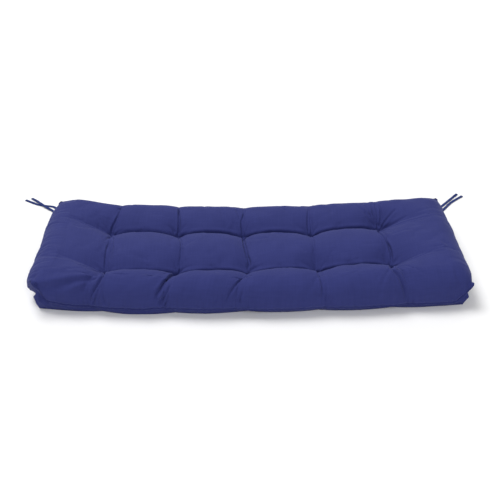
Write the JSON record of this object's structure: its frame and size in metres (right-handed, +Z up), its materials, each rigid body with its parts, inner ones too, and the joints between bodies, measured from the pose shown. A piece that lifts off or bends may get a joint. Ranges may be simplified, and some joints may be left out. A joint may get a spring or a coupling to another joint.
{
  "type": "tufted bench cushion",
  "caption": "Long tufted bench cushion with plump square pillows, eared corners and thin fabric ties at its back corners.",
  "frame": {"origin": "middle of the cushion's outline, on its underside, without the ties", "axes": "+X along the bench to the right, +Y to the back edge that has the ties, +Z up through the crown"},
  "size_m": [1.5193, 0.6615, 0.1181],
  "materials": {
    "cover_cloth": "matt plain weave",
    "tie_cloth": "matt plain weave, folded"
  },
  "bodies": {
    "root": {"cushion": "cover_cloth", "tie_left_outer": "tie_cloth", "tie_left_inner": "tie_cloth", "tie_right_outer": "tie_cloth", "tie_right_inner": "tie_cloth"}
  },
  "joints": []
}
